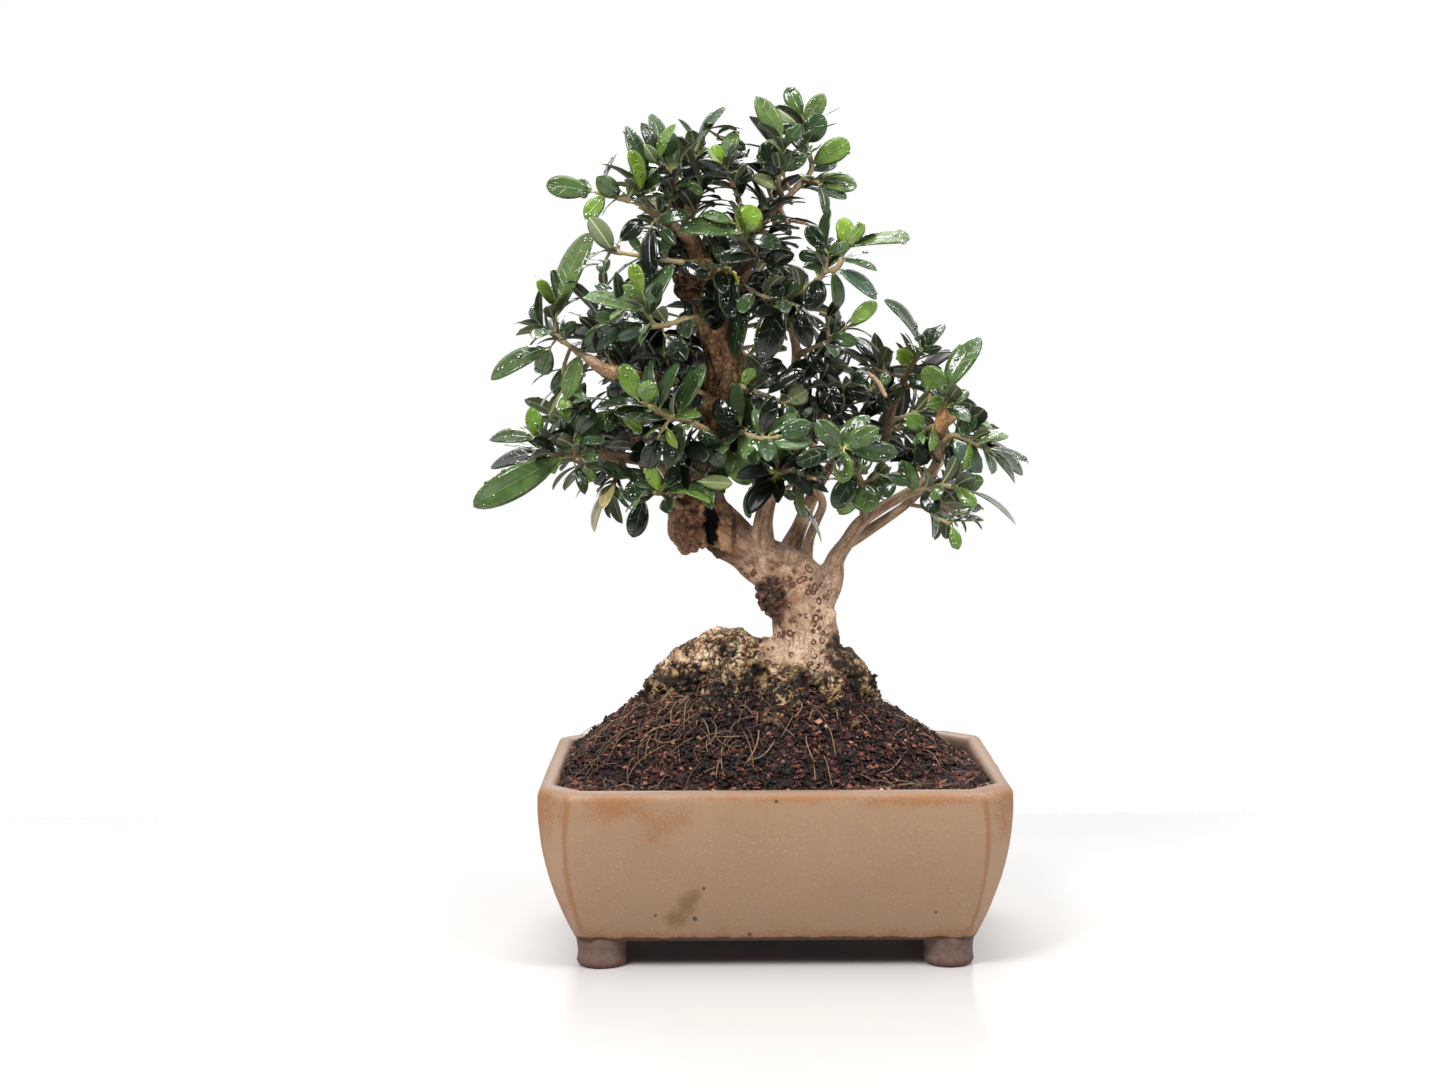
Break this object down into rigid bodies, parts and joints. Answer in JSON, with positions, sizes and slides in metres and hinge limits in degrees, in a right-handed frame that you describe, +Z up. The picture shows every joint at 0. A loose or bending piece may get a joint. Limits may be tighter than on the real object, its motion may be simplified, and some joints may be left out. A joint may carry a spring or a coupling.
{
  "type": "dwarf olive bonsai",
  "caption": "Small gnarled olive tree with glossy leaves, grown as a bonsai in a glazed rectangular pot with cut corners and round feet.",
  "frame": {"origin": "under the middle of the whole object's box, on the surface that it stands on", "axes": "+Z up, -Y towards the pot's long front side that the picture shows, +X to that view's right"},
  "size_m": [0.219, 0.1438, 0.3416],
  "materials": {
    "glazed_clay": "satin",
    "potting_soil": "matte",
    "bark": "matte",
    "leaf": "satin",
    "screen_plastic": "matte"
  },
  "bodies": {
    "root": {"pot": "glazed_clay", "drainage_screen_left": "screen_plastic", "drainage_screen_right": "screen_plastic", "soil": "potting_soil", "wood": "bark", "spray_left_tip": "leaf", "spray_low_left": "leaf", "spray_dried_clump": "leaf", "spray_left_mid": "leaf", "spray_shoot_a": "leaf", "spray_centre_low": "leaf", "spray_centre_back": "leaf", "spray_shoot_b": "leaf", "spray_trunk_shoot": "leaf", "spray_below_crown": "leaf", "spray_shoot_c": "leaf", "spray_high_left": "leaf", "spray_high_left_leaf": "leaf", "spray_yellow_leaf": "leaf", "spray_crown_middle": "leaf", "spray_crown_hanging": "leaf", "spray_shoot_d": "leaf", "spray_shoot_e": "leaf", "spray_shoot_f": "leaf", "spray_shoot_h": "leaf", "spray_top_left_leaves": "leaf", "spray_top_right_leaves": "leaf", "spray_shoot_i": "leaf", "spray_right_mid": "leaf", "spray_right_dark": "leaf", "spray_right_top": "leaf", "spray_right_tall": "leaf", "spray_far_right": "leaf", "spray_right_low": "leaf", "spray_rosette": "leaf", "spray_rosette_low": "leaf", "spray_back_high_end": "leaf", "spray_back_high_left": "leaf", "spray_back_high_right": "leaf", "spray_back_high_low": "leaf", "spray_back_left_end": "leaf", "spray_back_left_side": "leaf", "spray_back_left_low": "leaf", "spray_back_right_end": "leaf", "spray_back_right_side": "leaf", "spray_back_right_inner": "leaf", "spray_back_crown_end": "leaf", "spray_back_crown_side": "leaf", "spray_crown_back": "leaf", "spray_crown_peak": "leaf", "spray_low_right_end": "leaf", "spray_low_right_side": "leaf", "spray_low_left_end": "leaf", "spray_low_left_side": "leaf", "spray_left_back": "leaf", "spray_right_back": "leaf", "spray_low_back": "leaf"}
  },
  "joints": []
}
